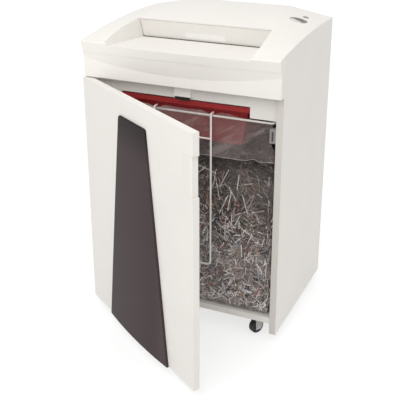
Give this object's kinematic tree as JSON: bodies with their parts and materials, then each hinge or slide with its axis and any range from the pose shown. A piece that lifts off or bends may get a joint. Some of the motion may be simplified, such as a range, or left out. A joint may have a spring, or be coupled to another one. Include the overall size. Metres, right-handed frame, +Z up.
{
  "type": "paper shredder",
  "caption": "Console paper shredder: board cabinet on castors with a hinged door, a shred bag on a wire hoop and a moulded feed head with trough, flap and cutters.",
  "frame": {"origin": "on the floor under the centre of the bounding box, with the door at its rest angle", "axes": "+X to the right seen from the front, +Y from the front to the back, +Z up"},
  "size_m": [0.599, 0.7796, 0.9096],
  "materials": {
    "side_board": "off-white laminated board, satin",
    "door_board": "off-white laminated board, satin",
    "inner_board": "off-white laminated board",
    "housing": "off-white moulded plastic, fine grain",
    "flap": "off-white moulded plastic",
    "window": "pale translucent plastic",
    "switch": "dark grey gloss",
    "button": "grey gloss",
    "inlay": "anthracite, fine grain",
    "hinge_steel": "nickel plated",
    "catch": "pale grey plastic",
    "magnet": "dark magnet strip",
    "sensor": "black plastic",
    "chute": "red plastic",
    "wire": "white coated steel wire",
    "runner": "white coated sheet steel",
    "film": "clear polythene film",
    "shreds": "loosely packed shredded paper",
    "steel": "machined steel",
    "motor": "dark grey paint",
    "gear": "dark moulded plastic",
    "capacitor": "drawn can",
    "circuit": "green circuit board",
    "inlet": "black plastic",
    "castor_plate": "zinc plated",
    "castor_fork": "grey plastic",
    "castor_wheel": "black rubber tread"
  },
  "bodies": {
    "cabinet": {"left_side_panel": "side_board", "right_side_panel": "side_board", "base_panel": "inner_board", "back_panel": "inner_board", "machine_deck": "inner_board", "front_rail": "inner_board", "front_fascia": "housing", "top_housing": "housing", "hinge_cabinet_leaves": "hinge_steel", "hinge_pins": "hinge_steel", "magnetic_catch": "catch", "catch_magnet": "magnet", "door_sensor_housing": "housing", "door_sensor": "sensor", "shred_chute": "chute", "bag_frame": "wire", "frame_runners": "runner", "bag_retainer": "wire", "waste_bag": "film", "paper_shreds": "shreds", "left_cutter_plate": "steel", "right_cutter_plate": "steel", "cutter_tie_bars": "steel", "cutter_bearings": "steel", "stripper_combs": "steel", "paper_guides": "steel", "motor": "motor", "motor_capacitor": "capacitor", "control_board": "circuit", "mains_inlet": "inlet", "castor_plates": "castor_plate", "castor_screws": "castor_plate"},
    "door": {"door_panel": "door_board", "door_inlay": "inlay", "door_grip": "housing", "hinge_door_leaves": "hinge_steel", "catch_plate": "hinge_steel"},
    "front_roller": {"front_cutter": "steel", "front_sync_gear": "gear"},
    "rear_roller": {"rear_cutter": "steel", "rear_gear_cluster": "gear"},
    "idler": {"idler_gear": "gear"},
    "drive_pinion": {"motor_pinion": "steel"},
    "flap": {"safety_flap": "flap", "flap_window": "window"},
    "rocker": {"rocker_switch": "switch"},
    "button": {"ready_button": "button"},
    "castor_front_left": {"castor_fork_front_left": "castor_fork", "castor_axle_front_left": "castor_plate"},
    "wheel_front_left": {"castor_wheel_front_left": "castor_wheel"},
    "castor_front_right": {"castor_fork_front_right": "castor_fork", "castor_axle_front_right": "castor_plate"},
    "wheel_front_right": {"castor_wheel_front_right": "castor_wheel"},
    "castor_back_left": {"castor_fork_back_left": "castor_fork", "castor_axle_back_left": "castor_plate"},
    "wheel_back_left": {"castor_wheel_back_left": "castor_wheel"},
    "castor_back_right": {"castor_fork_back_right": "castor_fork", "castor_axle_back_right": "castor_plate"},
    "wheel_back_right": {"castor_wheel_back_right": "castor_wheel"}
  },
  "joints": [
    {"name": "door_swing", "type": "hinge", "parent": "cabinet", "child": "door", "pos_m": [-0.28796, -0.05418, 0.3885], "axis": [0, 0, -1], "range_deg": [-33, 77]},
    {"name": "swivel_front_left", "type": "hinge", "parent": "cabinet", "child": "castor_front_left", "pos_m": [-0.22746, 0.00081, 0.0527], "axis": [0, 0, 1], "continuous": true},
    {"name": "roll_front_left", "type": "hinge", "parent": "castor_front_left", "child": "wheel_front_left", "pos_m": [-0.22131, -0.0161, 0.022], "axis": [-0.9397, -0.342, 0], "continuous": true},
    {"name": "swivel_front_right", "type": "hinge", "parent": "cabinet", "child": "castor_front_right", "pos_m": [0.23654, 0.00081, 0.0527], "axis": [0, 0, 1], "continuous": true},
    {"name": "roll_front_right", "type": "hinge", "parent": "castor_front_right", "child": "wheel_front_right", "pos_m": [0.22754, -0.01477, 0.022], "axis": [-0.866, 0.5, 0], "continuous": true},
    {"name": "swivel_back_left", "type": "hinge", "parent": "cabinet", "child": "castor_back_left", "pos_m": [-0.22746, 0.33481, 0.0527], "axis": [0, 0, 1], "continuous": true},
    {"name": "roll_back_left", "type": "hinge", "parent": "castor_back_left", "child": "wheel_back_left", "pos_m": [-0.23779, 0.34956, 0.022], "axis": [0.8192, 0.5736, 0], "continuous": true},
    {"name": "swivel_back_right", "type": "hinge", "parent": "cabinet", "child": "castor_back_right", "pos_m": [0.23654, 0.33481, 0.0527], "axis": [0, 0, 1], "continuous": true},
    {"name": "roll_back_right", "type": "hinge", "parent": "castor_back_right", "child": "wheel_back_right", "pos_m": [0.24269, 0.35173, 0.022], "axis": [0.9397, -0.342, 0], "continuous": true},
    {"name": "front_cutter_spin", "type": "hinge", "parent": "cabinet", "child": "front_roller", "pos_m": [0.00454, 0.07906, 0.778], "axis": [1, 0, 0], "continuous": true},
    {"name": "rear_cutter_spin", "type": "hinge", "parent": "cabinet", "child": "rear_roller", "pos_m": [0.00454, 0.13306, 0.778], "axis": [1, 0, 0], "continuous": true},
    {"name": "idler_spin", "type": "hinge", "parent": "cabinet", "child": "idler", "pos_m": [0.00454, 0.20506, 0.778], "axis": [1, 0, 0], "continuous": true},
    {"name": "pinion_spin", "type": "hinge", "parent": "cabinet", "child": "drive_pinion", "pos_m": [0.00454, 0.25306, 0.778], "axis": [1, 0, 0], "continuous": true},
    {"name": "flap_press", "type": "hinge", "parent": "cabinet", "child": "flap", "pos_m": [0.00454, 0.09889, 0.88679], "axis": [1, 0, 0], "range_deg": [0, 8], "stiffness_Nm_per_rad": 0.3, "springref_deg": -2.86},
    {"name": "rocker_tilt", "type": "hinge", "parent": "cabinet", "child": "rocker", "pos_m": [0.23943, 0.23689, 0.89221], "axis": [0.9776, 0, -0.2107], "range_deg": [-5, 5], "stiffness_Nm_per_rad": 0.2},
    {"name": "button_press", "type": "slide", "parent": "cabinet", "child": "button", "axis": [-0.2061, -0.0119, -0.9785], "range_m": [0, 0.0015], "stiffness_N_per_m": 300, "springref_m": -0.001}
  ],
  "couplings": [
    {"joint": "rear_cutter_spin", "follows": "front_cutter_spin", "ratio": -1},
    {"joint": "idler_spin", "follows": "front_cutter_spin", "ratio": 1},
    {"joint": "pinion_spin", "follows": "front_cutter_spin", "ratio": -3}
  ]
}
